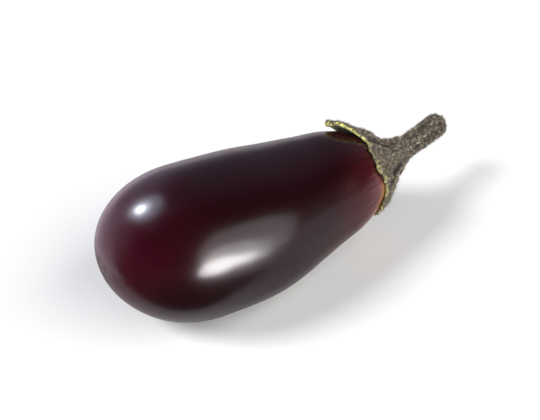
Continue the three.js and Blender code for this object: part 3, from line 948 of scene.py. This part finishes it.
def stage_sheet(name, low, high, level, colour, mirrored):
    """A flat rectangle that isn't part of the object. The glossy skin shows it in the mirrored colour."""
    corners = [low, (high[0], low[1]), high, (low[0], high[1])]
    mesh = bpy.data.meshes.new(name)
    mesh.from_pydata([(x / METRE, y / METRE, level / METRE) for x, y in corners], [], [(0, 1, 2, 3)])
    material, nodes = new_material(name)
    in_gloss = nodes.add("ShaderNodeLightPath", {}, "Is Glossy Ray")
    shown = nodes.mix(in_gloss, colour, mirrored)
    surface(nodes, {"Roughness": 1.0, "Specular IOR Level": 0.0}, {"Base Color": shown})
    mesh.materials.append(material)
    made = bpy.data.objects.new(name, mesh)
    bpy.context.scene.collection.objects.link(made)
    return made


def lamp(name, kind, azimuth, elevation, distance, colour, **settings):
    data = bpy.data.lights.new(name, kind)
    data.color = colour
    for key, value in settings.items():
        setattr(data, key, value)
    made = bpy.data.objects.new(name, data)
    bpy.context.scene.collection.objects.link(made)
    back = towards(azimuth, elevation)
    made.location = back * distance / METRE
    made.rotation_euler = (-back).to_track_quat("-Z", "Y").to_euler()
    made.visible_camera = False
    return made


# Patches of the dark studio that show in the glossy skin: azimuth, elevation, the angles within which each
# is full and gone, and its colour.
PATCHES = [
    (150, 20, 25, 75, (0.17, 0.16, 0.22)),
    (-165, 5, 20, 50, (0.36, 0.34, 0.44)),
    (-128, 2, 8, 38, (0.50, 0.44, 0.52)),
    (0, 90, 4, 22, (0.06, 0.05, 0.06)),
]
DARK = (0.015, 0.014, 0.015)
BACKDROP = (1.0, 1.0, 1.0)

# The suns light the floor and the colours, and don't show in the skin: name, azimuth, elevation, colour,
# strength and how many degrees wide.
DAYLIGHT = (0.97, 0.98, 1.0)
CREAM = (1.0, 1.0, 0.975)
SUNS = [
    ("key", -105, 43, DAYLIGHT, 3.0, 24),
    ("fill", 34, 26, CREAM, 3.9, 80),
    ("front", -40, 32, CREAM, 0.7, 60),
]
SUN_DISTANCE = 1000

# Lamps seen only in the skin: name, azimuth, elevation, distance, colour, power, shape, width in metres and
# height to width. Two wider and dimmer lamps stand round the small one and round the softbox, so that the
# highlights fade out.
COOL = (0.86, 0.93, 1.0)
BLUISH = (0.74, 0.80, 1.0)
WARM = (1.0, 0.985, 0.98)
GLOSSY_LAMPS = [
    ("spot", -136, 44, 1000, COOL, 5.0, "DISK", 0.07, 1.0),
    ("spot_halo", -136, 46, 1000, BLUISH, 2.2, "DISK", 0.30, 1.0),
    ("spot_glow", -137, 49, 1000, BLUISH, 3.2, "DISK", 0.62, 1.0),
    ("softbox", 1, 1.5, 330, WARM, 3.2, "ELLIPSE", 0.30, 0.66),
    ("softbox_halo", 8, 14, 350, WARM, 0.75, "ELLIPSE", 0.30, 0.7),
    ("softbox_glow", 16, 22, 380, WARM, 0.8, "ELLIPSE", 0.50, 0.7),
]

# The floor, and cards just above it that are seen only in the skin: name, colour and two corners, in a frame
# turned with the camera.
FLOOR_EDGE = 3000
FLOOR_COLOUR = (0.8, 0.8, 0.8)
FLOOR_MIRRORED = (0.40, 0.37, 0.38)
CARD_DARK = (0.04, 0.04, 0.04)
CARD_PALE = (0.72, 0.62, 0.72)
CARD_LEVEL = 0.5
CARDS = [
    ("dark_card_far", CARD_DARK, (-FLOOR_EDGE, -FLOOR_EDGE), (90, -180)),
    ("dark_card_near", CARD_DARK, (-300, -180), (90, -72)),
    ("pale_card_left", CARD_PALE, (-FLOOR_EDGE, -70), (-125, FLOOR_EDGE)),
]


def surroundings():
    world = bpy.data.worlds.new("studio")
    world.use_nodes = True
    bpy.context.scene.world = world
    nodes = Nodes(world.node_tree)
    direction = nodes.add("ShaderNodeTexCoord", {}, "Generated")
    total = rgba(DARK)
    for azimuth, elevation, full, gone, colour in PATCHES:
        facing = nodes.facing(direction, towards(azimuth, elevation))
        amount = nodes.between(facing, math.cos(math.radians(gone)), math.cos(math.radians(full)))
        inputs = {0: amount, 6: total, 7: rgba(colour)}
        total = nodes.add("ShaderNodeMix", inputs, 2, data_type="RGBA", blend_type="ADD")
    seen = nodes.add("ShaderNodeLightPath", {}, "Is Camera Ray")
    shown = nodes.mix(seen, total, BACKDROP)
    background = nodes.add("ShaderNodeBackground", {"Color": shown, "Strength": 1.0})
    output = world.node_tree.nodes.new("ShaderNodeOutputWorld")
    world.node_tree.links.new(background, output.inputs["Surface"])


def lights():
    for name, azimuth, elevation, colour, strength, wide in SUNS:
        sun = lamp(name, "SUN", azimuth, elevation, SUN_DISTANCE, colour, energy=strength,
                   angle=math.radians(wide))
        sun.visible_glossy = False
    for name, azimuth, elevation, distance, colour, energy, shape, width, height_share in GLOSSY_LAMPS:
        light = lamp(name, "AREA", azimuth, elevation, distance, colour, energy=energy, shape=shape,
                     size=width, size_y=width * height_share)
        light.visible_diffuse = False


def floor_and_cards():
    low = (-FLOOR_EDGE, -FLOOR_EDGE)
    high = (FLOOR_EDGE, FLOOR_EDGE)
    stage_sheet("floor", low, high, 0, FLOOR_COLOUR, FLOOR_MIRRORED)
    for name, colour, low, high in CARDS:
        card = stage_sheet(name, low, high, CARD_LEVEL, colour, colour)
        card.visible_camera = False
        card.visible_diffuse = False
        card.visible_shadow = False
        card.rotation_euler.z = math.radians(CAMERA_AZIMUTH)


camera()
fruit()
calyx()
stem()
surroundings()
lights()
floor_and_cards()
bpy.context.scene.view_settings.view_transform = "Standard"
